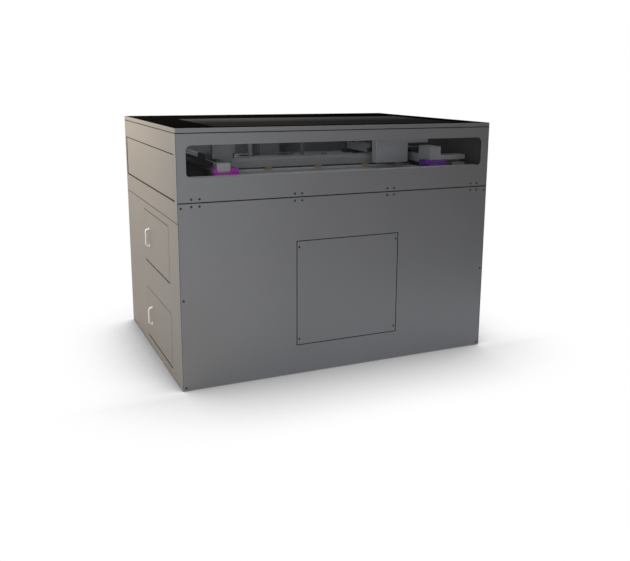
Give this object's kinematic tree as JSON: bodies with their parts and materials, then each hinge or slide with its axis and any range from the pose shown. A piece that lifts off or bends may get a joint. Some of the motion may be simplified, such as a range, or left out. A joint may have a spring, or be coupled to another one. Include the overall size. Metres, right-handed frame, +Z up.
{
  "type": "resin printer",
  "caption": "Large-format resin printer: sheet-metal cabinet with a dark hinged lid, front window, side doors, resin vat, XY gantry with recoater blade and exposure head, and a rear Z lift.",
  "frame": {"origin": "on the floor, under the middle of the object's bounding box", "axes": "+X to the right along the front, +Y from the front to the back, +Z up"},
  "size_m": [1.521, 1.1011, 1.1],
  "materials": {
    "powder_coat": "fine powder coat, satin",
    "frame_paint": "dark grey paint",
    "black_steel": "black oxide",
    "rubber_foot": "moulded rubber",
    "clear_pane": "smoke-tinted clear sheet",
    "dark_pane": "dark smoked acrylic",
    "light_aluminium": "light anodised",
    "stainless": "brushed",
    "hinge_steel": "zinc plated",
    "brass": "machined",
    "red_plastic": "dipped vinyl",
    "purple_bracket": "printed plastic",
    "black_plastic": "moulded",
    "green_board": "solder mask",
    "white_handle": "white enamel",
    "ground_steel": "ground and polished"
  },
  "bodies": {
    "cabinet": {"levelling_feet": "rubber_foot", "frame_posts": "frame_paint", "frame_rails": "frame_paint", "base_pan": "frame_paint", "front_upper_panel": "powder_coat", "front_lower_panel": "powder_coat", "left_upper_panel": "powder_coat", "left_lower_panel": "powder_coat", "right_panel": "powder_coat", "back_panel": "powder_coat", "window_pane": "clear_pane", "window_sill": "light_aluminium", "access_cover": "powder_coat", "cover_ring_frame": "frame_paint", "panel_screws": "black_steel", "hinge_arms": "frame_paint", "lid_hinge_bases": "hinge_steel", "deck_plate": "light_aluminium", "resin_vat": "stainless", "drain_valve": "brass", "y_units": "light_aluminium", "unit_brackets": "purple_bracket", "y_motors": "light_aluminium", "z_column": "frame_paint", "z_bearings": "light_aluminium", "z_motor": "black_plastic", "electronics_panel": "light_aluminium", "power_supply": "stainless", "control_board": "green_board", "motor_drivers": "black_plastic", "fan_frame": "black_plastic", "power_inlet": "black_plastic"},
    "lid": {"lid_frame": "powder_coat", "lid_pane": "dark_pane", "lid_hinge_leaves": "hinge_steel"},
    "upper_door": {"upper_door": "powder_coat", "upper_door_handle": "white_handle"},
    "lower_door": {"lower_door": "powder_coat", "lower_door_handle": "white_handle"},
    "side_hatch": {"hatch_panel": "powder_coat"},
    "gantry": {"x_beam": "light_aluminium", "gantry_carriages": "frame_paint", "gantry_brackets": "frame_paint", "x_drive_housing": "light_aluminium", "recoater_blade": "black_steel", "blade_clamps": "brass", "level_sensor": "light_aluminium"},
    "print_head": {"head_carriage": "purple_bracket", "head_housing": "light_aluminium", "head_lens": "black_plastic"},
    "platform": {"build_platform": "light_aluminium", "platform_arms": "light_aluminium", "z_carriage": "light_aluminium"},
    "left_y_screw": {"y_screw_left": "ground_steel"},
    "right_y_screw": {"y_screw_right": "ground_steel"},
    "x_drive_screw": {"x_screw": "ground_steel"},
    "z_drive_screw": {"z_screw": "ground_steel"},
    "exhaust_fan": {"fan_rotor": "black_plastic"},
    "power_rocker": {"rocker_switch": "black_plastic"},
    "drain_lever": {"valve_lever": "red_plastic"}
  },
  "joints": [
    {"name": "lid_hinge", "type": "hinge", "parent": "cabinet", "child": "lid", "pos_m": [0.0105, 0.5494, 1.081], "axis": [-1, 0, 0], "range_deg": [0, 75]},
    {"name": "upper_door_hinge", "type": "hinge", "parent": "cabinet", "child": "upper_door", "pos_m": [-0.733, -0.3655, 0.5555], "axis": [0, 0, 1], "range_deg": [0, 95]},
    {"name": "lower_door_hinge", "type": "hinge", "parent": "cabinet", "child": "lower_door", "pos_m": [-0.733, -0.3655, 0.1705], "axis": [0, 0, 1], "range_deg": [0, 95]},
    {"name": "hatch_hinge", "type": "hinge", "parent": "cabinet", "child": "side_hatch", "pos_m": [-0.733, -0.0035, 0.9875], "axis": [0, 1, 0], "range_deg": [0, 85]},
    {"name": "gantry_slide", "type": "slide", "parent": "cabinet", "child": "gantry", "axis": [0, 1, 0], "range_m": [-0.075, 0.48]},
    {"name": "head_slide", "type": "slide", "parent": "gantry", "child": "print_head", "axis": [1, 0, 0], "range_m": [-0.7, 0.02]},
    {"name": "platform_slide", "type": "slide", "parent": "cabinet", "child": "platform", "axis": [0, 0, 1], "range_m": [-0.15, 0]},
    {"name": "left_y_screw_spin", "type": "hinge", "parent": "cabinet", "child": "left_y_screw", "pos_m": [-0.5115, 0.035, 0.929], "axis": [0, 1, 0], "range_deg": [-1355, 8645]},
    {"name": "right_y_screw_spin", "type": "hinge", "parent": "cabinet", "child": "right_y_screw", "pos_m": [0.5325, 0.035, 0.929], "axis": [0, 1, 0], "range_deg": [-1355, 8645]},
    {"name": "x_screw_spin", "type": "hinge", "parent": "gantry", "child": "x_drive_screw", "pos_m": [0.0105, -0.2225, 0.927], "axis": [1, 0, 0], "range_deg": [-12605, 365]},
    {"name": "z_screw_spin", "type": "hinge", "parent": "cabinet", "child": "z_drive_screw", "pos_m": [0.0105, 0.44, 0.8], "axis": [0, 0, 1], "range_deg": [-5405, 5]},
    {"name": "fan_spin", "type": "hinge", "parent": "cabinet", "child": "exhaust_fan", "pos_m": [-0.4795, 0.525, 0.56], "axis": [0, 1, 0], "continuous": true},
    {"name": "rocker_tilt", "type": "hinge", "parent": "cabinet", "child": "power_rocker", "pos_m": [-0.4795, 0.542, 0.197], "axis": [1, 0, 0], "range_deg": [0, 16]},
    {"name": "drain_lever_turn", "type": "hinge", "parent": "cabinet", "child": "drain_lever", "pos_m": [0.0105, -0.271, 0.624], "axis": [0, 1, 0], "range_deg": [0, 90]}
  ],
  "couplings": [
    {"joint": "left_y_screw_spin", "follows": "gantry_slide", "rad_per_m": 314.16},
    {"joint": "right_y_screw_spin", "follows": "gantry_slide", "rad_per_m": 314.16},
    {"joint": "x_screw_spin", "follows": "head_slide", "rad_per_m": 314.16},
    {"joint": "z_screw_spin", "follows": "platform_slide", "rad_per_m": 628.32}
  ]
}
